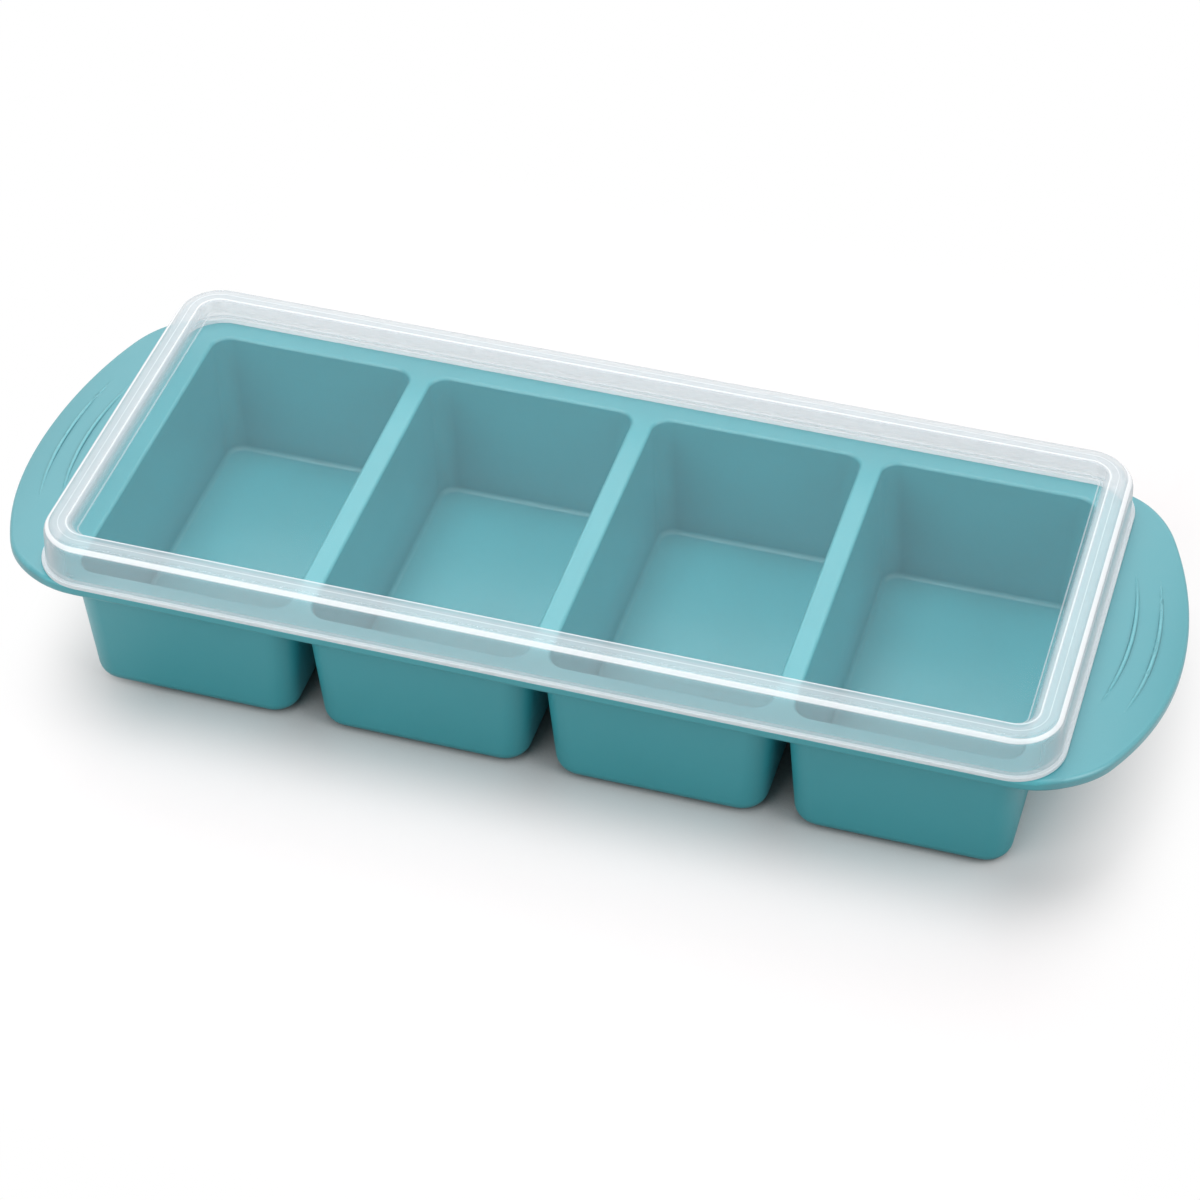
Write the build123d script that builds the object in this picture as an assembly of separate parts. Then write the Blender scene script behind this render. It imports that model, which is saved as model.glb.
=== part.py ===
from build123d import *
import os
from math import sqrt

# Silicone freezing tray of four deep cups under a clear lid. Millimetres, +X along the row of cups, +Z up.
# The origin is under the middle of the tray, on the surface that it stands on.

# Cups
cup_count = 4
cup_gap = 2.0
mouth_width = 61.6
mouth_length = 108.8
mouth_corner = 5.2
mouth_edge_round = 1.0
cavity_depth = 39.9
wall_lean = 2.8
wall = 2.2
floor_edge_round = 2.4

# Floors that are pushed up from below to free a frozen block
floor_thickness = 2.5
floor_rise = 0.5
floor_corner = 6.0
floor_gap = 0.3
foot_ring_width = 2.5

# Deck and rim
deck_thickness = 3.8
side_margin = 7.6
end_margin = 10.6
rim_edge_round = 1.3

# Steel wire moulded into the rim
wire_diameter = 2.4
wire_bend_radius = 12.0
wire_gap = 0.05

# Handles
handle_reach = 23.6
handle_drop = 5.0
handle_end_radius = 105.0
handle_corner_radius = 28.0
grip_inset = 8.0
grip_spacing = 6.8
grip_half_length = 28.0
grip_bow = 3.9
grip_radius = 0.65
grip_height = 0.5

# Lid
lid_wall = 1.2
lid_side_overhang = 1.2
lid_end_overhang = 0.7
lid_corner = 14.5
lip_reach = 1.1
lip_thickness = 1.4
skirt_lean = 0.4
crest_height = 13.4
crest_width = 6.8
crest_edge_round = 0.8
shoulder_round = 3.2
panel_drop = 3.0
panel_slope_run = 2.7
panel_edge_round = 1.0
slope_underside_share = 0.5

# Length that a cut runs past the face it goes through
overrun = 1.0

# Levels and places that follow from the sizes above
floor_top = floor_rise + floor_thickness
deck_top = floor_top + cavity_depth
deck_bottom = deck_top - deck_thickness
cup_pitch = mouth_width + 2 * wall + cup_gap
block_half_length = (cup_pitch * (cup_count - 1) + mouth_width) / 2
deck_half_length = block_half_length + end_margin
rim_half_width = mouth_length / 2 + side_margin
handle_tip = deck_half_length + handle_reach
bend_radius = (handle_reach**2 + handle_drop**2) / (2 * handle_drop)


def cup_centres():
    """The X of each cup's middle, from left to right."""
    first = -cup_pitch * (cup_count - 1) / 2
    return [first + cup_pitch * number for number in range(cup_count)]


def cup_section(height, growth):
    """The cup's inner outline at a height, grown outwards on all sides."""
    lean = wall_lean * (deck_top - height) / cavity_depth
    width = mouth_width - 2 * lean + 2 * growth
    length = mouth_length - 2 * lean + 2 * growth
    return Pos(0, 0, height) * RectangleRounded(width, length, mouth_corner + growth)


def cup_form(low, high, growth, edge_round):
    """A solid that widens upwards as the cup does, with a rounded edge round its bottom."""
    form = loft([cup_section(low, growth), cup_section(high, growth)])
    return fillet(form.edges().group_by(Axis.Z)[0], edge_round)


def cavity():
    """The space inside one cup, run past the deck so that it also cuts the mouth."""
    return cup_form(floor_top, deck_top + overrun, 0, floor_edge_round)


def floor_plate(growth, low, high):
    """The flat middle of a cup's floor, inside the ring that the cup stands on."""
    lean = wall_lean * deck_top / cavity_depth
    border = lean + floor_edge_round + foot_ring_width - growth
    outline = RectangleRounded(mouth_width - 2 * border, mouth_length - 2 * border, floor_corner + growth)
    return Pos(0, 0, low) * extrude(outline, high - low)


def cup_walls():
    """One cup below the deck: four leaning walls and the foot ring round the loose floor."""
    shell = cup_form(0, deck_bottom, wall, floor_edge_round + wall) - cavity()
    return shell - floor_plate(floor_gap, -overrun, floor_top + overrun)


def cup_floor():
    """One push-up floor, just clear of the table and of the foot ring."""
    return floor_plate(0, floor_rise, floor_top)


def flange_outline():
    """Straight long sides that turn into a shallow arc round the end of each handle."""
    arc_centre = handle_tip - handle_end_radius
    arc_start = arc_centre + sqrt(handle_end_radius**2 - rim_half_width**2)
    corners = [(arc_start, -rim_half_width), (arc_start, rim_half_width)]
    corners += [(-arc_start, rim_half_width), (-arc_start, -rim_half_width)]
    front = Line(corners[3], corners[0])
    right = ThreePointArc(corners[0], (handle_tip, 0), corners[1])
    back = Line(corners[1], corners[2])
    left = ThreePointArc(corners[2], (-handle_tip, 0), corners[3])
    outline = make_face(Curve() + [front, right, back, left])
    return fillet(outline.vertices(), handle_corner_radius)


def bent_end(low, high):
    """A wide sheet that bends down from the deck's right end, between two heights above the deck."""
    centre = (deck_half_length, deck_top - bend_radius)
    arcs = [CenterArc(centre, bend_radius + height, 0, 90) for height in (low, high)]
    ends = [Line(arcs[0] @ share, arcs[1] @ share) for share in (0, 1)]
    return extrude(Plane.XZ * make_face(Curve() + arcs + ends), rim_half_width + overrun, both=True)


def flange():
    """The whole top of the tray with rounded rims, flat between its bent ends, before the mouths are cut."""
    level = Pos(0, 0, deck_bottom + deck_thickness / 2)
    middle = level * Box(2 * deck_half_length, 2 * (rim_half_width + overrun), deck_thickness)
    right = bent_end(-deck_thickness, 0)
    plate = (middle + right + right.mirror(Plane.YZ)) & extrude(flange_outline(), deck_top + overrun)
    edges = plate.edges()
    return fillet(edges - edges.filter_by(Axis.Y) - edges.filter_by(Axis.Z), rim_edge_round)


def wire_loop(diameter):
    """A closed round loop in the middle of the rim, round all the cups."""
    half_x = block_half_length + end_margin / 2
    half_y = (mouth_length + side_margin) / 2
    corners = [(-half_x, -half_y), (half_x, -half_y), (half_x, half_y), (-half_x, half_y)]
    path = FilletPolyline(corners, radius=wire_bend_radius, close=True)
    start = path @ 0
    section = Plane(origin=start, z_dir=path % 0) * Circle(diameter / 2)
    return Pos(0, 0, deck_bottom + deck_thickness / 2) * sweep(section, path=path.wire())


def tray_deck():
    """The deck between the handles, with the mouths of the cups and the hidden channel of the wire."""
    middle = Box(2 * deck_half_length, 2 * (rim_half_width + overrun), 2 * (deck_top + overrun))
    deck = flange() & middle
    for centre in cup_centres():
        deck -= Pos(centre, 0, 0) * cavity()
    rims = deck.faces().sort_by(Axis.Z)[-1].inner_wires()
    deck = fillet([edge for rim in rims for edge in rim.edges()], mouth_edge_round)
    return deck - wire_loop(wire_diameter + 2 * wire_gap)


def handle_level(x):
    """The height of the right handle's bent top at a distance from the tray's middle."""
    return deck_top - bend_radius + sqrt(bend_radius**2 - (x - deck_half_length) ** 2)


def grip_ridge(inset):
    """A round raised line on the right handle, bowed as the handle's end is, that sinks in at both tips."""
    crown = handle_tip - inset
    tip = crown - grip_bow
    crown_level = handle_level(crown) + grip_height - grip_radius
    tip_level = handle_level(tip) - grip_radius
    ends = [(tip, side * grip_half_length, tip_level) for side in (-1, 1)]
    path = ThreePointArc(ends[0], (crown, 0, crown_level), ends[1])
    return sweep(Plane(origin=path @ 0, z_dir=path % 0) * Circle(grip_radius), path=path)


def right_handle():
    """The rounded end of the flange beyond the deck, with its two grip lines."""
    reach = handle_reach + overrun
    width = 2 * (rim_half_width + overrun)
    end = Pos(deck_half_length + reach / 2, 0, 0) * Box(reach, width, 2 * (deck_top + overrun))
    return (flange() & end) + grip_ridge(grip_inset) + grip_ridge(grip_inset + grip_spacing)


def lid_rim_section():
    """The lid's edge in section: inset from the lip's outside against height above the deck."""
    skirt_top = lip_reach + skirt_lean
    crest_end = skirt_top + crest_width
    slope_end = crest_end + panel_slope_run
    rim_end = slope_end + panel_slope_run
    panel_top = crest_height - panel_drop
    tuck = lid_wall * slope_underside_share
    corners = [
        ((0, 0), 0),
        ((0, lip_thickness), 0),
        ((lip_reach, lip_thickness), 0),
        ((skirt_top, crest_height), shoulder_round),
        ((crest_end, crest_height), crest_edge_round),
        ((slope_end, panel_top), panel_edge_round),
        ((rim_end, panel_top), 0),
        ((rim_end, panel_top - lid_wall), 0),
        ((slope_end - tuck, panel_top - lid_wall), 0),
        ((crest_end - tuck, crest_height - lid_wall), 0),
        ((skirt_top + lid_wall, crest_height - lid_wall), shoulder_round - lid_wall),
        ((lip_reach + lid_wall, 0), 0),
    ]
    points = [point for point, _ in corners]
    rounds = [corner_round for _, corner_round in corners]
    return make_face(FilletPolyline(points, radius=rounds, close=True)), rim_end


def lid():
    """A clear cover that stands on the deck: its rim follows a rounded rectangle round a flat panel."""
    half_x = deck_half_length + lid_end_overhang
    half_y = rim_half_width + lid_side_overhang
    section, rim_end = lid_rim_section()
    corners = [(0, -half_y), (half_x, -half_y), (half_x, half_y), (-half_x, half_y), (-half_x, -half_y)]
    path = FilletPolyline(corners, radius=[0] + [lid_corner] * 4, close=True)
    start = Plane(origin=(0, -half_y, 0), x_dir=(0, 1, 0), z_dir=(1, 0, 0))
    rim = sweep(start * section, path=path.wire())
    panel_low = crest_height - panel_drop - lid_wall
    outline = RectangleRounded(2 * (half_x - rim_end), 2 * (half_y - rim_end), lid_corner - rim_end)
    panel = Pos(0, 0, panel_low) * extrude(outline, lid_wall)
    return Pos(0, 0, deck_top) * (rim + panel)


def tray_parts():
    """Every sub-part by name, at its place in the closed tray."""
    parts = {"tray_deck": tray_deck(), "rim_wire": wire_loop(wire_diameter), "lid": lid()}
    parts["right_handle"] = right_handle()
    parts["left_handle"] = parts["right_handle"].mirror(Plane.YZ)
    walls = cup_walls()
    plate = cup_floor()
    for number, centre in enumerate(cup_centres(), start=1):
        parts[f"cup_{number}"] = Pos(centre, 0, 0) * walls
        parts[f"cup_{number}_floor"] = Pos(centre, 0, 0) * plate
    return parts


os.makedirs("parts", exist_ok=True)
for name, shape in tray_parts().items():
    export_step(shape, f"parts/{name}.step")
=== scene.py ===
"""Dresses the lidded silicone freezing tray: soft cups, a clear lid and a white studio."""

from math import radians, tan

import bmesh
import bpy
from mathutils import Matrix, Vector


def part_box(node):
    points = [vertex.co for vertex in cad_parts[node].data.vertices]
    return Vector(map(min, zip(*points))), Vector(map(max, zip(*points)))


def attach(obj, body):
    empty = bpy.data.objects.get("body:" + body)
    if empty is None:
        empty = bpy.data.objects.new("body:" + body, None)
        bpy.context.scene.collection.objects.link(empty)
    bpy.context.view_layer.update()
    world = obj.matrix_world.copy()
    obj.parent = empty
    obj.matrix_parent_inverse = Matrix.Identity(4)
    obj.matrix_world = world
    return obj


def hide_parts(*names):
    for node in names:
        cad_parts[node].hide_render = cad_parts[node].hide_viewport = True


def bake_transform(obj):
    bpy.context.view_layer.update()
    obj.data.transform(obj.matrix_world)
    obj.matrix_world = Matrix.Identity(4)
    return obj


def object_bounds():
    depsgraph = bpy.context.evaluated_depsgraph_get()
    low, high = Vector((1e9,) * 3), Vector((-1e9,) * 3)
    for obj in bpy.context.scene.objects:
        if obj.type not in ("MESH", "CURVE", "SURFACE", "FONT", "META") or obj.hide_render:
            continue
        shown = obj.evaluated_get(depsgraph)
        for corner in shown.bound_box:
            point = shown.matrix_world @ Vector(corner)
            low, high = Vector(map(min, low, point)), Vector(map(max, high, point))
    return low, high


bl_info = {
    "name": "Lidded Freezing Tray",
    "version": (1, 0, 0),
    "blender": (4, 5, 0),
    "location": "View3D > Sidebar > Tray",
    "description": "Builds the cups, the lid and the studio round the packed tray",
    "category": "Object",
}

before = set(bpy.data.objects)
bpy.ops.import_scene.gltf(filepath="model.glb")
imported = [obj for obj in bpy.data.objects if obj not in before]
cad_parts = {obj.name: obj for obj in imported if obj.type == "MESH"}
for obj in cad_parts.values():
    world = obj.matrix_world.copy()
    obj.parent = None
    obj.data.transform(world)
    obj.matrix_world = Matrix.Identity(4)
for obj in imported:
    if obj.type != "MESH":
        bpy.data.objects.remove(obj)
CAD_LOW, CAD_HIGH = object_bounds()
_, DECK_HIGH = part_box("tray_deck")
CUP_LOW, CUP_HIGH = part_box("cup_1")
FLOOR_LOW, FLOOR_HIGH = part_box("cup_1_floor")
LID_LOW, LID_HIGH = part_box("lid")
CUPS = range(1, 5)
SILICONE = "teal_silicone"
SILICONE_NODES = ("tray_deck", "left_handle", "right_handle")

# Rays that see the studio as plain white
WHITE_RAYS = ("Is Camera Ray", "Is Glossy Ray", "Is Transmission Ray")

# Distance in metres below which two heights are the same
NEAR = 1e-6

# Colour of the studio where it is plain white
WHITE = (1, 1, 1, 1)

# Profile of a bevel that is a true round
ROUND_PROFILE = 0.5

# Angle above which an edge stays sharp, and the slopes that tell level faces from upright ones
SHARP_ANGLE = radians(35)
LEVEL_SLOPE = 0.9
UPRIGHT_SLOPE = 0.5

# Width in millimetres of the camera's sensor
SENSOR_WIDTH = 36

# Rays that test how much of the space round a point is filled
HIDDEN_RAYS = 8

# Place of each lamp, and the width and height of its panel, in metres
LAMPS = {
    "key": ((-0.2, 0.1, 1.3), (0.8, 0.8)),
    "side": ((1.65, -0.3, 1.275), (1.35, 1.35)),
    "back": ((-0.24, 0.88, 0.8), (2.0, 0.9)),
    "front": ((-0.5, -1.0, 0.7), (0.9, 0.9)),
}

# Patterns in the finishes: how many to a metre, and how finely each is broken up
CLOUD = (26, 3)
GRAIN = (2600, 2)
RIPPLE = (160, 2)
LID_CLOUD = (60, 3)
WIRE_STREAK = (900, 4)

# Ranges over which the clouds' tone, the painted shade beside the grip lines, the painted highlight on them
# and the painted shadow on the floor come in
CLOUD_RANGE = (0.35, 0.65)
CREASE_SHADE_RANGE = (0.02, 0.26)
RIDGE_HIGHLIGHT_RANGE = (0.02, 0.28)
PAINTED_SHADOW_RANGE = (0.45, 0.95)

# Shares of the lid's wall, shoulder, lip and skirt at which its painted highlights come in and go out
TOP_FACE_SHARES = (0.7, 0.3)
SHOULDER_HEIGHT_SHARES = (0.55, 0.4)
SHOULDER_INSET_SHARES = (0.45, 0.6)
SKIRT_TOP_SHARE = 1.5
LIP_TOP_SHARE = 1.25
FOOT_HEIGHT_SHARE = 2
FOOT_WIDTH_SHARE = 0.7
FOOT_DEPTH_SHARE = 1.2


def length(label, words, size):
    """A property that holds a length in metres."""
    return bpy.props.FloatProperty(name=label, description=words, default=size, precision=5, unit="LENGTH")


def turn(label, words, degrees):
    """A property that holds an angle."""
    return bpy.props.FloatProperty(name=label, description=words, default=radians(degrees), subtype="ANGLE")


def amount(label, words, share):
    """A property that holds a plain number."""
    return bpy.props.FloatProperty(name=label, description=words, default=share, precision=3)


def steps(label, words, number):
    """A property that holds a count of segments."""
    return bpy.props.IntProperty(name=label, description=words, default=number, min=1)


def tint(label, words, colour):
    """A property that holds a colour."""
    return bpy.props.FloatVectorProperty(
        name=label, description=words, default=colour, size=3, min=0, max=1, subtype="COLOR")


class CupSizes(bpy.types.PropertyGroup):
    """Sizes of the soft cups below the deck."""

    wall: length("Wall", "Thickness of a cup's wall", 0.0022)
    skin: length("Outer skin", "Thickness of the outer half of the wall, which stays with the tray", 0.0011)
    skin_gap: length("Skin gap", "Gap between the two halves of the wall", 0.0001)
    draft: turn("Draft", "Lean of the walls", 4.0142)
    corner: length("Corner", "Radius of the upright corners inside", 0.0052)
    floor_round: length("Floor round", "Radius between the wall and the floor inside", 0.0014)
    foot_round: length("Foot round", "Radius between the wall and the foot outside", 0.0046)
    push_corner: length("Push corner", "Radius of the corners of the floor that is pushed up", 0.006)
    hole_gap: length("Hole gap", "Gap round the floor that is pushed up", 0.0003)
    push_top: length("Push top", "Height above which a wall stays still while its floor is pushed", 0.034)
    push_foot: length("Push foot", "Height below which a cup follows its floor", 0.006)
    rings: steps("Rings", "Rows of faces up a wall", 12)
    arc: steps("Arc", "Faces round a rounded edge", 8)


class LidSizes(bpy.types.PropertyGroup):
    """Sizes of the clear lid and of the painted highlight lines on it."""

    wall: length("Wall", "Thickness of the lid", 0.0012)
    seat_gap: length("Seat gap", "Gap between the lid and the deck", 0.0001)
    corner: length("Corner", "Radius of the lid's corners at its lip", 0.0145)
    lip_reach: length("Lip reach", "How far the lip stands out from the skirt", 0.0011)
    lip_height: length("Lip height", "Height of the lip", 0.0014)
    lip_round: length("Lip round", "Rounding of the lip's edges", 0.0004)
    skirt_lean: length("Skirt lean", "How far the skirt leans in", 0.0004)
    crest_width: length("Crest width", "Width of the raised rim", 0.0068)
    shoulder_round: length("Shoulder round", "Rounding of the rim's outer edge", 0.0032)
    crest_round: length("Crest round", "Rounding of the rim's inner edge", 0.00036)
    panel_drop: length("Panel drop", "Depth of the panel below the rim", 0.003)
    slope_run: length("Slope run", "Width of the slope from the rim to the panel", 0.0027)
    panel_round: length("Panel round", "Rounding where the slope meets the panel", 0.00045)
    arc: steps("Arc", "Faces round a corner", 14)
    edge_arc: steps("Edge arc", "Faces across a rounded edge of the rim", 6)
    lip_arc: steps("Lip arc", "Faces across a rounded edge of the lip", 2)
    # Painted highlights: where the lid's bright lines lie, how wide and how bright they are
    inner_line_inset: length("Inner line inset", "From the rim's inner edge to its bright line", 0.0003)
    inner_line_width: length("Inner line width", "Half the width of the inner bright line", 0.0006)
    inner_highlight: amount("Inner line", "Brightness of the inner line", 0.75)
    outer_line_inset: length("Outer line inset", "From the rim's outer edge to the second line", 0.0042)
    outer_line_width: length("Outer line width", "Half the width of the second line", 0.0004)
    outer_highlight: amount("Outer line", "Brightness of the second line", 0.55)
    panel_line_width: length("Panel line width", "Half the width of the line round the panel", 0.0005)
    panel_highlight: amount("Panel line", "Brightness of the line round the panel", 0.35)
    lip_highlight: amount("Lip line", "Brightness of the lip", 0.6)
    foot_highlight: amount("Foot line", "Brightness of the line above the lip", 0.3)


class Finishes(bpy.types.PropertyGroup):
    """Colours and shine of the tray, its lid and its wire."""

    silicone: tint("Silicone", "Colour of the silicone", (0.034, 0.370, 0.425))
    silicone_deep: tint("Deep silicone", "Colour of the silicone's darker clouds", (0.031, 0.356, 0.409))
    # Painted shade: a darker copy of the silicone painted onto the handles
    silicone_handle_shade: tint("Handle silicone", "Colour of the silicone on the handles", (0.042, 0.286, 0.334))
    # Painted highlight: the paler colour painted on the handles' grip lines
    silicone_ridge_highlight: tint("Silicone ridge", "Colour of the handles' grip lines", (0.13, 0.45, 0.50))
    # Painted shade: the dark colour painted beside the grip lines and into the cups' corners
    silicone_painted_shade: tint("Silicone crease", "Colour of the silicone in its creases", (0.012, 0.13, 0.16))
    lid: tint("Lid", "Colour of the milky parts of the lid", (0.66, 0.70, 0.73))
    # Painted highlight: the near-white colour painted on the lid's edges
    lid_highlight: tint("Lid edge", "Colour of the lid's bright edges", (0.93, 0.95, 0.97))
    wire: tint("Wire", "Colour of the steel", (0.62, 0.62, 0.63))
    wire_streak: tint("Wire streak", "Colour of the steel's darker streaks", (0.42, 0.42, 0.43))
    # Painted shade: how far the shade painted into the cups' corners reaches
    hollow_reach: length("Hollow reach", "Width of the darker tone in the cups' corners", 0.008)
    # Painted shade beside the handles' grip lines, and the painted highlight on them, reach this far
    crease_reach: length("Crease reach", "Width of the darker tone beside the handles' grip lines", 0.0012)
    # Painted shade: width over which the handles' painted darker colour comes in
    handle_shade_fade: length("Handle fade", "Width over which the deck's colour turns into the handles'", 0.006)
    panel_milk: amount("Panel milk", "How much the lid's panel hides", 0.032)
    skirt_milk: amount("Skirt milk", "How much the lid's skirt hides", 0.22)
    crest_milk: amount("Crest milk", "How much the lid's rim hides", 0.28)
    # Painted highlight: how opaque the lid's painted highlight lines are
    highlight_milk: amount("Line milk", "How much the lid's edges hide", 0.76)
    lid_light: amount("Lid light", "How much of what the lid hides still lets light through", 0.65)
    least_slant: amount("Least slant", "Slant at which the lid stops getting milkier", 0.1)
    # Painted shade: how dark the shade painted into the cups' corners is
    hollow_painted_shade: amount("Hollow shade", "How dark the cups' corners are", 0.25)
    satin: amount("Satin", "Roughness of the silicone", 0.36)
    satin_change: amount("Satin change", "How much the silicone's roughness changes in its ripples", 0.10)
    hollow_satin: amount("Hollow satin", "How much rougher the silicone is in the cups' corners", 0.5)
    grain_bump: amount("Grain bump", "Strength of the silicone's grain", 0.10)
    grain_depth: length("Grain depth", "Depth of the silicone's grain", 0.0003)
    ripple_bump: amount("Ripple bump", "Height of the ripples against the grain", 0.6)
    specular: amount("Specular", "Strength of the silicone's reflections", 1.0)
    coat: amount("Coat", "Weight of the soft shine on the silicone", 0.35)
    coat_satin: amount("Coat satin", "Roughness of the soft shine", 0.42)
    lid_gloss: amount("Lid gloss", "Roughness of the lid", 0.16)
    lid_gloss_change: amount("Lid gloss change", "How much the lid's roughness changes", 0.10)
    wire_gloss: amount("Wire gloss", "Roughness of the steel", 0.22)
    wire_gloss_change: amount("Wire gloss change", "How much the steel's roughness changes", 0.2)


class StageSettings(bpy.types.PropertyGroup):
    """Camera, lamps and floor."""

    lens: amount("Lens", "Focal length in millimetres", 106.91)
    azimuth: turn("Azimuth", "Turn of the camera to the right of the front", 16.575)
    elevation: turn("Elevation", "Height of the camera above the horizon", 42.179)
    distance: length("Distance", "From the aim to the camera", 0.9752)
    aim_x: length("Aim X", "Point on the deck's level that the camera looks at", 0.009946)
    aim_y: length("Aim Y", "Point on the deck's level that the camera looks at", -0.025845)
    floor_size: length("Floor size", "Side of the floor", 12.0)
    key_power: amount("Key power", "Watts of the large lamp above", 10.0)
    side_power: amount("Side power", "Watts of the soft lamp on the right", 18.5)
    back_power: amount("Back power", "Watts of the lamp whose shine lies on the level faces", 4.8)
    front_power: amount("Front power", "Watts of the soft lamp in front", 6.4)
    sky: amount("Sky", "Strength of the light from all round", 0.2)
    floor: tint("Floor", "Colour of the floor", (0.86, 0.825, 0.825))
    floor_bounce: tint("Floor bounce", "Colour of the light that the floor throws back", (0.32, 0.32, 0.32))
    # Painted shadow: the darker colour painted on the floor between and close to the cups
    floor_painted_shadow: tint("Floor contact", "Colour of the floor between the cups", (0.25, 0.25, 0.25))
    floor_satin: amount("Floor satin", "Roughness of the floor", 0.45)
    # Painted shadow: how far from the cups the floor is painted darker
    painted_shadow_reach: length("Contact reach", "Width of the darker floor close to the cups", 0.03)
    fade: length("Fade", "Distance from the tray's long sides at which the floor is plain white", 0.16)
    end_shadow: length("End shadow", "Distance from the middle at which the floor begins to fade", 0.12)
    end_fade: length("End fade", "Width over which the floor fades beyond the end cups", 0.054)
    fade_middle: length("Fade middle", "How far the shadow's middle lies along the tray", 0.011)


class Signal:
    """A socket of a material that takes part in sums."""

    def __init__(self, paint, socket):
        self.paint, self.socket = paint, socket

    def sum(self, operation, *terms):
        return self.paint.node("Math", {"operation": operation}, dict(enumerate(terms)))

    def __add__(self, other):
        return self.sum("ADD", self, other)

    def __sub__(self, other):
        return self.sum("SUBTRACT", self, other)

    def __rsub__(self, other):
        return self.sum("SUBTRACT", other, self)

    def __mul__(self, other):
        return self.sum("MULTIPLY", self, other)

    def __rtruediv__(self, other):
        return self.sum("DIVIDE", other, self)

    def __pow__(self, other):
        return self.sum("POWER", self, other)

    def __abs__(self):
        return self.sum("ABSOLUTE", self)

    __radd__, __rmul__ = __add__, __mul__

    def least(self, other):
        return self.sum("MINIMUM", self, other)

    def most(self, other):
        return self.sum("MAXIMUM", self, other)

    def root(self):
        return self.sum("SQRT", self)

    def rise(self, low, high):
        """0 below low, 1 above high and smooth between."""
        inputs = {"Value": self, "From Min": low, "From Max": high}
        return self.paint.node("MapRange", {"interpolation_type": "SMOOTHSTEP"}, inputs)

    def line(self, middle, half_width):
        """1 on a value, and 0 from half_width away from it."""
        return 1 - abs(self - middle).rise(0, half_width)


class Paint:
    """A material in the making."""

    def __init__(self, name):
        self.material = bpy.data.materials.new(name)
        self.material.use_nodes = True
        self.tree = self.material.node_tree
        self.shader = self.tree.nodes["Principled BSDF"]

    def node(self, kind, settings, inputs, output=0):
        """Adds a node, sets it up, feeds its sockets and gives back one of its outputs."""
        made = self.tree.nodes.new("ShaderNode" + kind)
        for name, value in settings.items():
            setattr(made, name, value)
        self.feed(made, inputs)
        return Signal(self, made.outputs[output])

    def feed(self, node, inputs):
        """Links or sets the sockets of a node."""
        for name, value in inputs.items():
            if isinstance(value, Signal):
                self.tree.links.new(value.socket, node.inputs[name])
            else:
                node.inputs[name].default_value = value

    def place(self):
        """The point on the piece, as a vector and as its three parts."""
        point = self.node("TexCoord", {}, {}, "Object")
        return point, [self.node("SeparateXYZ", {}, {"Vector": point}, axis) for axis in "XYZ"]

    def noise(self, point, scale, detail):
        """A soft random pattern between 0 and 1."""
        return self.node("TexNoise", {}, {"Vector": point, "Scale": scale, "Detail": detail})

    def hidden(self, reach, inside=False, alone=True):
        """How much of the space just outside a skin, or inside it, the piece alone or all pieces fill."""
        settings = {"only_local": alone, "inside": inside, "samples": HIDDEN_RAYS}
        return 1 - self.node("AmbientOcclusion", settings, {"Distance": reach}, "AO")

    def blend(self, share, first, second):
        """A colour between two colours."""
        ends = [end if isinstance(end, Signal) else (*end, 1) for end in (first, second)]
        return self.node("MixRGB", {}, {"Fac": share, "Color1": ends[0], "Color2": ends[1]})

    def bump(self, height, strength, depth):
        """A fine relief that tilts the surface without moving it."""
        return self.node("Bump", {}, {"Height": height, "Strength": strength, "Distance": depth})


def select_only(piece):
    """Makes a piece the one selected and active object."""
    bpy.ops.object.select_all(action="DESELECT")
    piece.select_set(True)
    bpy.context.view_layer.objects.active = piece


def start_box(name, low, high):
    """Adds a box between two corners and goes on to edit it."""
    bpy.ops.object.select_all(action="DESELECT")
    bpy.ops.mesh.primitive_cube_add(size=1)
    piece = bpy.context.object
    piece.name = piece.data.name = name
    bpy.ops.object.mode_set(mode="EDIT")
    widths = [top - bottom for bottom, top in zip(low, high)]
    middle = [(top + bottom) / 2 for bottom, top in zip(low, high)]
    bpy.ops.transform.resize(value=widths, center_override=(0, 0, 0))
    bpy.ops.transform.translate(value=middle)
    return piece


def pick(piece, kind, test):
    """Selects the vertices, edges or faces that pass a test, and nothing else."""
    bpy.ops.mesh.select_mode(type=kind)
    bpy.ops.mesh.select_all(action="DESELECT")
    mesh = bmesh.from_edit_mesh(piece.data)
    group = {"VERT": mesh.verts, "EDGE": mesh.edges, "FACE": mesh.faces}[kind]
    found = [element for element in group if test(element)]
    if not found:
        raise RuntimeError(f"{piece.name} has nothing to select")
    for element in found:
        element.select_set(True)
    mesh.select_flush_mode()
    bmesh.update_edit_mesh(piece.data)


def is_upright(edge):
    """True for an edge that climbs more than it runs."""
    run = edge.verts[0].co - edge.verts[1].co
    return abs(run.z) > abs(run.x) + abs(run.y)


def lies_at(height):
    """A test for vertices, edges and faces that lie at one height."""
    def test(element):
        corners = [element] if isinstance(element, bmesh.types.BMVert) else element.verts
        return all(abs(corner.co.z - height) < NEAR for corner in corners)
    return test


def taper(piece, height, inset):
    """Draws in the box's corners at one height by the same width on all sides."""
    pick(piece, "VERT", lies_at(height))
    mesh = bmesh.from_edit_mesh(piece.data)
    half = max(mesh.verts, key=lambda corner: corner.co.x + corner.co.y).co
    value = (1 - inset / half.x, 1 - inset / half.y, 1)
    bpy.ops.transform.resize(value=value, center_override=(0, 0, height))


def round_edges(width, segments):
    """Rounds the selected edges."""
    bpy.ops.mesh.bevel(
        offset=width, offset_type="OFFSET", segments=segments, profile=ROUND_PROFILE, affect="EDGES")


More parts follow.
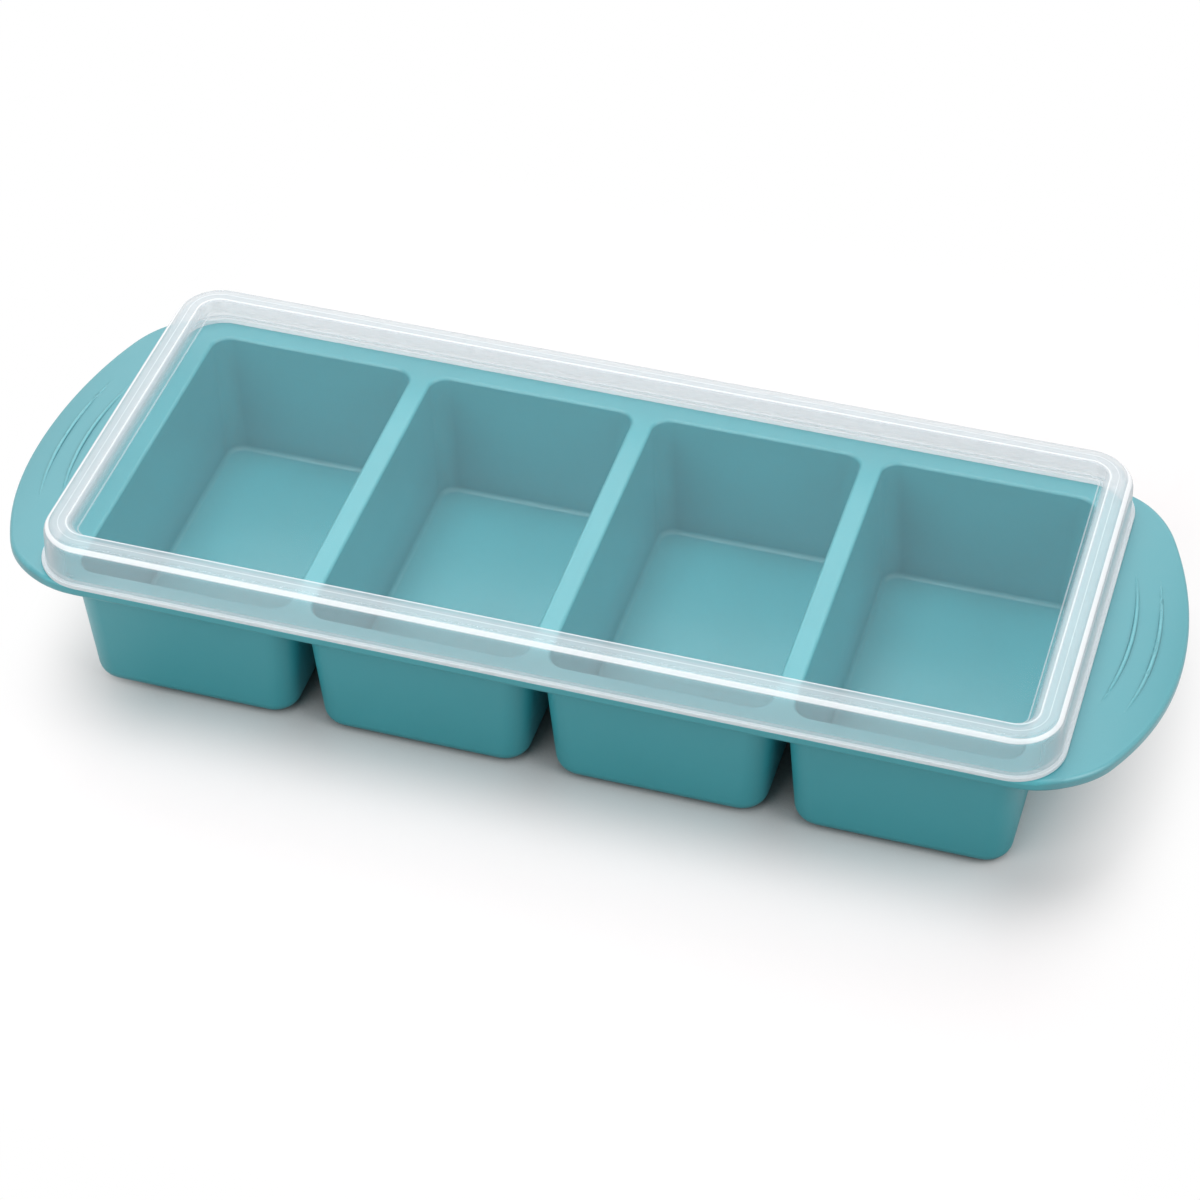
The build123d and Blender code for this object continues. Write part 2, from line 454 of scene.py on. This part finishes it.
def give_wall(piece, thickness):
    """Gives a skin its thickness, on the side that its faces point away from."""
    bpy.ops.object.mode_set(mode="OBJECT")
    select_only(piece)
    bpy.ops.object.modifier_add(type="SOLIDIFY")
    solid = piece.modifiers[-1]
    solid.thickness, solid.offset, solid.use_even_offset = thickness, -1, True
    bpy.ops.object.modifier_apply(modifier=solid.name)
    bpy.ops.object.mode_set(mode="EDIT")


def finish_piece(piece, material):
    """Shades a piece smoothly where it is round, keeps its flats flat and paints it."""
    bpy.ops.object.mode_set(mode="OBJECT")
    select_only(piece)
    bpy.ops.object.shade_smooth_by_angle(angle=SHARP_ANGLE)
    bpy.ops.object.modifier_add(type="WEIGHTED_NORMAL")
    piece.modifiers[-1].keep_sharp = True
    bpy.ops.object.modifier_apply(modifier=piece.modifiers[-1].name)
    dress(piece, material)


def dress(piece, material):
    """Gives a piece its one material."""
    piece.data.materials.clear()
    piece.data.materials.append(material)


def copy_along(piece, name, x):
    """Copies a piece, with a mesh of its own, to another place along the tray."""
    select_only(piece)
    bpy.ops.object.duplicate()
    twin = bpy.context.object
    twin.name = twin.data.name = name
    bpy.ops.transform.translate(value=(x, 0, 0))
    bpy.ops.object.transform_apply(location=True, rotation=False, scale=False)
    return twin


def silicone_paint(finish):
    """Matte silicone: faint clouds of tone, a fine satin grain, painted shade in its creases and corners
    and on its handles, and painted highlights on the grip lines.
    """
    paint = Paint(SILICONE)
    point, (x, _, _) = paint.place()
    reach = finish.crease_reach
    handle_shade = abs(x).rise(DECK_HIGH.x - finish.handle_shade_fade, DECK_HIGH.x)
    on_grip = abs(x).rise(DECK_HIGH.x + reach, DECK_HIGH.x + 2 * reach)
    cloud = paint.noise(point, *CLOUD).rise(*CLOUD_RANGE)
    grain, ripple = paint.noise(point, *GRAIN), paint.noise(point, *RIPPLE)
    # Painted shade: how closed in each point is, which darkens the cups' corners and creases; it also makes
    # them rougher and less shiny
    hollow = paint.hidden(finish.hollow_reach)
    # Painted shade beside the grip lines
    crease = paint.hidden(reach).rise(*CREASE_SHADE_RANGE)
    # Painted highlight along the raised grip lines
    ridge = paint.hidden(reach, inside=True).rise(*RIDGE_HIGHLIGHT_RANGE) * on_grip
    shade = (hollow * finish.hollow_painted_shade).most(crease)
    tone = paint.blend(cloud, finish.silicone_deep, finish.silicone)
    # Painted shade: the handles get a darker copy of the silicone
    tone = paint.blend(handle_shade, tone, finish.silicone_handle_shade)
    tone = paint.blend(ridge, tone, finish.silicone_ridge_highlight)
    height = grain + ripple * finish.ripple_bump
    paint.feed(paint.shader, {
        "Base Color": paint.blend(shade, tone, finish.silicone_painted_shade),
        "Roughness": finish.satin + ripple * finish.satin_change + hollow * finish.hollow_satin,
        "Normal": paint.bump(height, finish.grain_bump, finish.grain_depth),
        "Specular IOR Level": finish.specular,
        "Coat Weight": (finish.coat - hollow).most(0),
        "Coat Roughness": finish.coat_satin,
    })
    return paint


def rim_inset(x, y, corner):
    """How far a point lies inside the lid's lip, as seen from above."""
    past_x, past_y = abs(x) - (LID_HIGH.x - corner), abs(y) - (LID_HIGH.y - corner)
    round_x, round_y = past_x.most(0), past_y.most(0)
    return corner - (round_x * round_x + round_y * round_y).root() - past_x.most(past_y).least(0)


def between(start, width, shares):
    """Two places that lie at shares of a width beyond a start."""
    return [start + share * width for share in shares]


def below(top, width, shares):
    """Two heights that lie at shares of a width below a top."""
    return [top - share * width for share in shares]


def lid_insets(size):
    """Insets from the lip where the rim starts, and where the skirt, the rim and the panel's slope end."""
    crest_start = size.lip_reach + size.skirt_lean
    crest_end = crest_start + size.crest_width
    return crest_start, crest_start + size.wall, crest_end, crest_end + size.slope_run


def lid_milk(inset, finish, size):
    """How much the lid hides: its skirt, then its rim, then its clear panel."""
    _, skirt_end, crest_end, slope_end = lid_insets(size)
    on_rim = inset.rise(skirt_end, SKIRT_TOP_SHARE * skirt_end)
    on_panel = inset.rise(crest_end, slope_end)
    milk = finish.skirt_milk + (finish.crest_milk - finish.skirt_milk) * on_rim
    return milk + (finish.panel_milk - finish.crest_milk) * on_panel


def lid_highlight_lines(inset, height, size):
    """The painted highlight lines on top of the lid's rim and round its panel."""
    crest_start, _, crest_end, slope_end = lid_insets(size)
    crest = LID_HIGH.z - LID_LOW.z
    on_rim = height.rise(*below(crest, size.wall, TOP_FACE_SHARES))
    on_panel = height.rise(*below(crest - size.panel_drop, size.wall, TOP_FACE_SHARES))
    inner = inset.line(crest_end - size.inner_line_inset, size.inner_line_width) * size.inner_highlight
    outer = inset.line(crest_start + size.outer_line_inset, size.outer_line_width) * size.outer_highlight
    panel = inset.line(slope_end, size.panel_line_width) * size.panel_highlight
    return (inner.most(outer) * on_rim).most(panel * on_panel)


def lid_shoulder_highlight(inset, height, size):
    """The painted highlight on the round edge on the outside of the lid's rim."""
    crest_start = lid_insets(size)[0]
    crest = LID_HIGH.z - LID_LOW.z
    high = height.rise(*below(crest, size.shoulder_round, SHOULDER_HEIGHT_SHARES))
    return high * (1 - inset.rise(*between(crest_start, size.shoulder_round, SHOULDER_INSET_SHARES)))


def lid_foot_highlight(inset, height, size):
    """The faint painted highlight line on the skirt above the lip."""
    skirt_end = lid_insets(size)[1]
    line = height.line(FOOT_HEIGHT_SHARE * size.lip_height, FOOT_WIDTH_SHARE * size.lip_height)
    return line * (1 - inset.rise(skirt_end, FOOT_DEPTH_SHARE * skirt_end)) * size.foot_highlight


def lid_paint(finish, size):
    """Clear plastic that turns milky along the lid's rim, with painted white highlights on its edges."""
    paint = Paint("clear_plastic")
    point, (x, y, z) = paint.place()
    inset, height = rim_inset(x, y, size.corner), z - LID_LOW.z
    # Painted highlight on the lip; the lip also blocks light, which casts its real contact shadow
    lip = (1 - height.rise(size.lip_height, LIP_TOP_SHARE * size.lip_height)) * size.lip_highlight
    # Painted highlights along the lid's edges, which also make the lid milkier there
    edges = lid_highlight_lines(inset, height, size).most(lid_shoulder_highlight(inset, height, size))
    edges = edges.most(lip).most(lid_foot_highlight(inset, height, size))
    milk = lid_milk(inset, finish, size).most(edges * finish.highlight_milk)
    slant = (1 - paint.node("LayerWeight", {}, {}, "Facing")).most(finish.least_slant)
    cloud = paint.noise(point, *LID_CLOUD)
    light_ray = paint.node("LightPath", {}, {}, "Is Shadow Ray")
    lets_light = 1 - finish.lid_light * light_ray * (1 - lip)
    paint.feed(paint.shader, {
        "Base Color": paint.blend(edges, finish.lid, finish.lid_highlight),
        "Roughness": finish.lid_gloss + cloud * finish.lid_gloss_change,
        "Alpha": (1 - (1 - milk) ** (1 / slant)) * lets_light,
    })
    return paint


def wire_paint(finish):
    """Drawn steel wire with fine streaks along it."""
    paint = Paint("drawn_steel")
    point, _ = paint.place()
    streak = paint.noise(point, *WIRE_STREAK)
    paint.feed(paint.shader, {
        "Base Color": paint.blend(streak, finish.wire, finish.wire_streak),
        "Roughness": finish.wire_gloss + streak * finish.wire_gloss_change,
        "Metallic": 1.0,
    })
    return paint


class TRAY_OT_deck(bpy.types.Operator):
    """Finish the silicone deck and handles and the steel wire in the rim"""

    bl_idname = "tray.deck"
    bl_label = "Deck, Handles and Wire"

    def execute(self, context):
        finish = context.scene.tray_finish
        silicone = silicone_paint(finish)
        for name in SILICONE_NODES:
            dress(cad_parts[name], silicone.material)
        dress(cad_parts["rim_wire"], wire_paint(finish).material)
        return {"FINISHED"}


def cup_skin(name, low_z, half_x, half_y, size, corner, foot_round):
    """An open cup below the deck, as a skin with rounded corners and a rounded foot."""
    top_z = CUP_HIGH.z
    piece = start_box(name, (-half_x, -half_y, low_z), (half_x, half_y, top_z))
    taper(piece, low_z, (top_z - low_z) * tan(size.draft))
    pick(piece, "FACE", lies_at(top_z))
    bpy.ops.mesh.delete(type="ONLY_FACE")
    pick(piece, "EDGE", is_upright)
    round_edges(corner, size.arc)
    pick(piece, "EDGE", lies_at(low_z))
    round_edges(foot_round, size.arc)
    for ring in range(1, size.rings):
        height = low_z + foot_round + (top_z - low_z - foot_round) * ring / size.rings
        bpy.ops.mesh.select_all(action="SELECT")
        bpy.ops.mesh.bisect(plane_co=(0, 0, height), plane_no=(0, 0, 1))
    return piece


def push_block(name, low_z, high_z, size, growth):
    """A block as wide as the floor that is pushed up, with its rounded corners."""
    half_x = (FLOOR_HIGH.x - FLOOR_LOW.x) / 2 + growth
    half_y = (FLOOR_HIGH.y - FLOOR_LOW.y) / 2 + growth
    bpy.ops.object.mode_set(mode="OBJECT")
    block = start_box(name, (-half_x, -half_y, low_z), (half_x, half_y, high_z))
    pick(block, "EDGE", is_upright)
    round_edges(size.push_corner + growth, size.arc)
    bpy.ops.object.mode_set(mode="OBJECT")
    return block


def combine(piece, block, operation):
    """Joins a block to a piece, or cuts it out, and takes the block away."""
    select_only(piece)
    bpy.ops.object.modifier_add(type="BOOLEAN")
    joint = piece.modifiers[-1]
    joint.object, joint.operation, joint.solver = block, operation, "EXACT"
    bpy.ops.object.modifier_apply(modifier=joint.name)
    bpy.data.objects.remove(block)


class TRAY_OT_cups(bpy.types.Operator):
    """Model one soft cup, an outer wall and the basin inside it, and copy it along the tray"""

    bl_idname = "tray.cups"
    bl_label = "Cups"

    def execute(self, context):
        size = context.scene.tray_cups
        silicone = bpy.data.materials[SILICONE]
        half_x, half_y = (CUP_HIGH.x - CUP_LOW.x) / 2, (CUP_HIGH.y - CUP_LOW.y) / 2
        wall = self.outer_wall(size, half_x, half_y)
        finish_piece(wall, silicone)
        basin = self.basin(size, half_x - size.wall, half_y - size.wall)
        finish_piece(basin, silicone)
        for number in CUPS:
            low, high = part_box(f"cup_{number}")
            x = (low.x + high.x) / 2
            outer = copy_along(wall, f"cup_{number}_wall", x)
            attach(outer, "tray")
            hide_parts(f"cup_{number}")
            inner = copy_along(basin, f"cup_{number}_basin", x)
            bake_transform(inner)
            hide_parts(f"cup_{number}_floor")
        for piece in (wall, basin):
            bpy.data.objects.remove(piece)
        return {"FINISHED"}

    def outer_wall(self, size, half_x, half_y):
        """The outside of a cup, with a hole in its foot for the floor that is pushed up."""
        foot, corner = CUP_LOW.z, size.corner + size.wall
        piece = cup_skin("outer_wall", foot, half_x, half_y, size, corner, size.foot_round)
        give_wall(piece, size.skin)
        hole = push_block("hole", foot - size.skin, foot + 2 * size.skin, size, size.hole_gap)
        combine(piece, hole, "DIFFERENCE")
        return piece

    def basin(self, size, half_x, half_y):
        """The inside of a cup down to its floor, with the thick middle that the thumb pushes."""
        piece = cup_skin("basin", FLOOR_HIGH.z, half_x, half_y, size, size.corner, size.floor_round)
        bpy.ops.mesh.select_all(action="SELECT")
        bpy.ops.mesh.flip_normals()
        thickness = size.wall - size.skin - size.skin_gap
        give_wall(piece, thickness)
        plug = push_block("plug", FLOOR_LOW.z, FLOOR_HIGH.z - thickness / 2, size, 0)
        combine(piece, plug, "UNION")
        return piece


def points_out(face):
    """True for a face that looks away from the middle of the lid."""
    middle = face.calc_center_median()
    return face.normal.x * middle.x + face.normal.y * middle.y > 0


def bounds_rim(outwards):
    """A test for the level edges of the lid's raised rim, on its outer or its inner side."""
    is_level = lies_at(LID_HIGH.z)

    def test(edge):
        wall = min(edge.link_faces, key=lambda face: face.normal.z)
        return is_level(edge) and wall.normal.z < LEVEL_SLOPE and points_out(wall) == outwards
    return test


class TRAY_OT_lid(bpy.types.Operator):
    """Model the clear lid: lip, skirt, raised rim and sunk panel"""

    bl_idname = "tray.lid"
    bl_label = "Lid"

    def execute(self, context):
        size = context.scene.tray_lid
        piece = self.skirt(size)
        self.rim_and_panel(piece, size)
        give_wall(piece, size.wall)
        self.lip(piece, size)
        finish_piece(piece, lid_paint(context.scene.tray_finish, size).material)
        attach(piece, "lid")
        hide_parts("lid")
        return {"FINISHED"}

    def skirt(self, size):
        """A low box, open below, with leaning sides and rounded corners."""
        base, crest = LID_LOW.z + size.seat_gap, LID_HIGH.z
        half_x, half_y = LID_HIGH.x - size.lip_reach, LID_HIGH.y - size.lip_reach
        piece = start_box("clear_lid", (-half_x, -half_y, base), (half_x, half_y, crest))
        taper(piece, crest, size.skirt_lean)
        pick(piece, "EDGE", is_upright)
        round_edges(size.corner - size.lip_reach, size.arc)
        pick(piece, "FACE", lies_at(base))
        bpy.ops.mesh.delete(type="ONLY_FACE")
        return piece

    def rim_and_panel(self, piece, size):
        """Sinks the panel below a raised rim and rounds the edges of both."""
        crest = LID_HIGH.z
        pick(piece, "FACE", lies_at(crest))
        bpy.ops.mesh.inset(thickness=size.crest_width)
        bpy.ops.mesh.inset(thickness=size.slope_run, depth=-size.panel_drop)
        pick(piece, "EDGE", lies_at(crest - size.panel_drop))
        round_edges(size.panel_round, size.edge_arc)
        pick(piece, "EDGE", bounds_rim(outwards=False))
        round_edges(size.crest_round, size.edge_arc)
        pick(piece, "EDGE", bounds_rim(outwards=True))
        round_edges(size.shoulder_round, size.edge_arc)

    def lip(self, piece, size):
        """Draws the foot of the skirt out into a lip with rounded edges."""
        lip_top = LID_LOW.z + size.seat_gap + size.lip_height
        bpy.ops.mesh.select_all(action="SELECT")
        bpy.ops.mesh.bisect(plane_co=(0, 0, lip_top), plane_no=(0, 0, 1))
        pick(piece, "FACE", lambda face: face.calc_center_median().z < lip_top
             and abs(face.normal.z) < UPRIGHT_SLOPE and points_out(face))
        bpy.ops.mesh.extrude_region_shrink_fatten(TRANSFORM_OT_shrink_fatten={"value": size.lip_reach})
        bpy.ops.mesh.region_to_loop()
        round_edges(size.lip_round, size.lip_arc)


class TRAY_OT_stage(bpy.types.Operator):
    """Set up the white floor, the soft light and the camera"""

    bl_idname = "tray.stage"
    bl_label = "Studio"

    def execute(self, context):
        stage = context.scene.tray_stage
        context.scene.view_settings.view_transform = "Standard"
        self.floor(stage)
        self.sky(context.scene, stage)
        for name, (place, panel) in LAMPS.items():
            self.lamp(f"{name}_lamp", place, getattr(stage, f"{name}_power"), panel)
        self.camera(context, stage)
        return {"FINISHED"}

    def camera(self, context, stage):
        """A camera that looks down at the deck from the front, a little to the right."""
        bpy.ops.object.camera_add(rotation=(radians(90) - stage.elevation, 0, stage.azimuth))
        camera = context.object
        camera.data.lens, camera.data.sensor_width = stage.lens, SENSOR_WIDTH
        back = camera.rotation_euler.to_matrix().col[2]
        camera.location = (stage.aim_x, stage.aim_y, DECK_HIGH.z)
        camera.location += back * stage.distance
        context.scene.camera = camera

    def lamp(self, name, place, power, panel):
        """A soft panel of light that points at the tray."""
        bpy.ops.object.light_add(type="AREA", location=place)
        lamp = bpy.context.object
        lamp.name = lamp.data.name = name
        lamp.data.shape, lamp.data.energy = "RECTANGLE", power
        lamp.data.size, lamp.data.size_y = panel
        lamp.rotation_euler = (-lamp.location).to_track_quat("-Z", "Y").to_euler()

    def floor(self, stage):
        """A white floor that shows the tray's shadow, with a painted shadow added between and close to the
        cups, and fades to plain white.
        """
        bpy.ops.mesh.primitive_plane_add(size=stage.floor_size, location=(0, 0, CAD_LOW.z))
        floor = bpy.context.object
        floor.name = "studio_floor"
        paint = Paint("white_floor")
        _, (x, y, _) = paint.place()
        past_x = abs(x - stage.fade_middle).rise(stage.end_shadow, stage.end_shadow + stage.end_fade)
        away = past_x.most(abs(y).rise(CAD_HIGH.y, CAD_HIGH.y + stage.fade))
        camera_ray, glossy_ray, clear_ray = [paint.node("LightPath", {}, {}, name) for name in WHITE_RAYS]
        # Painted shadow: the floor is painted darker where the cups close it in
        floor_shade_share = paint.hidden(stage.painted_shadow_reach, alone=False).rise(*PAINTED_SHADOW_RANGE)
        seen = paint.blend(floor_shade_share, stage.floor, stage.floor_painted_shadow)
        paint.feed(paint.shader, {
            "Base Color": paint.blend(camera_ray, stage.floor_bounce, seen),
            "Roughness": stage.floor_satin,
        })
        white = paint.node("Emission", {}, {"Color": WHITE, "Strength": 1.0})
        share = away * camera_ray.most(glossy_ray).most(clear_ray)
        shadowed = Signal(paint, paint.shader.outputs[0])
        mixed = paint.node("MixShader", {}, {"Fac": share, 1: shadowed, 2: white})
        paint.feed(paint.tree.nodes["Material Output"], {"Surface": mixed})
        dress(floor, paint.material)

    def sky(self, scene, stage):
        """Even white light from all round, and a white background."""
        world = bpy.data.worlds.new("studio_sky")
        world.use_nodes = True
        tree = world.node_tree
        path = tree.nodes.new("ShaderNodeLightPath")
        rays = [path.outputs[name] for name in WHITE_RAYS]
        for number in range(1, len(rays)):
            either = tree.nodes.new("ShaderNodeMath")
            either.operation = "MAXIMUM"
            tree.links.new(rays[number - 1], either.inputs[0])
            tree.links.new(rays[number], either.inputs[1])
            rays[number] = either.outputs[0]
        level = tree.nodes.new("ShaderNodeMapRange")
        level.inputs["To Min"].default_value = stage.sky
        level.inputs["To Max"].default_value = 1.0
        tree.links.new(rays[-1], level.inputs["Value"])
        background = tree.nodes["Background"]
        background.inputs["Color"].default_value = WHITE
        tree.links.new(level.outputs["Result"], background.inputs["Strength"])
        scene.world = world


class TRAY_PT_panel(bpy.types.Panel):
    """Lists the steps that build the tray"""

    bl_label = "Freezing Tray"
    bl_idname = "TRAY_PT_panel"
    bl_space_type = "VIEW_3D"
    bl_region_type = "UI"
    bl_category = "Tray"

    def draw(self, context):
        for group, operators in PANEL_ROWS:
            box = self.layout.box()
            for operator in operators:
                box.operator(operator)
            settings = getattr(context.scene, group)
            for name in settings.__annotations__:
                box.prop(settings, name)


GROUPS = {"tray_cups": CupSizes, "tray_lid": LidSizes, "tray_finish": Finishes, "tray_stage": StageSettings}
OPERATORS = (TRAY_OT_deck, TRAY_OT_cups, TRAY_OT_lid, TRAY_OT_stage)
PANEL_ROWS = (
    ("tray_cups", ("tray.cups",)),
    ("tray_lid", ("tray.lid",)),
    ("tray_finish", ("tray.deck",)),
    ("tray_stage", ("tray.stage",)),
)


def register():
    for kind in (*GROUPS.values(), *OPERATORS, TRAY_PT_panel):
        bpy.utils.register_class(kind)
    for name, group in GROUPS.items():
        setattr(bpy.types.Scene, name, bpy.props.PointerProperty(type=group))


def unregister():
    for name in GROUPS:
        delattr(bpy.types.Scene, name)
    for kind in (TRAY_PT_panel, *OPERATORS, *GROUPS.values()):
        bpy.utils.unregister_class(kind)


def main():
    register()
    bpy.ops.tray.deck()
    bpy.ops.tray.cups()
    bpy.ops.tray.lid()
    bpy.ops.tray.stage()


if __name__ == "__main__":
    main()
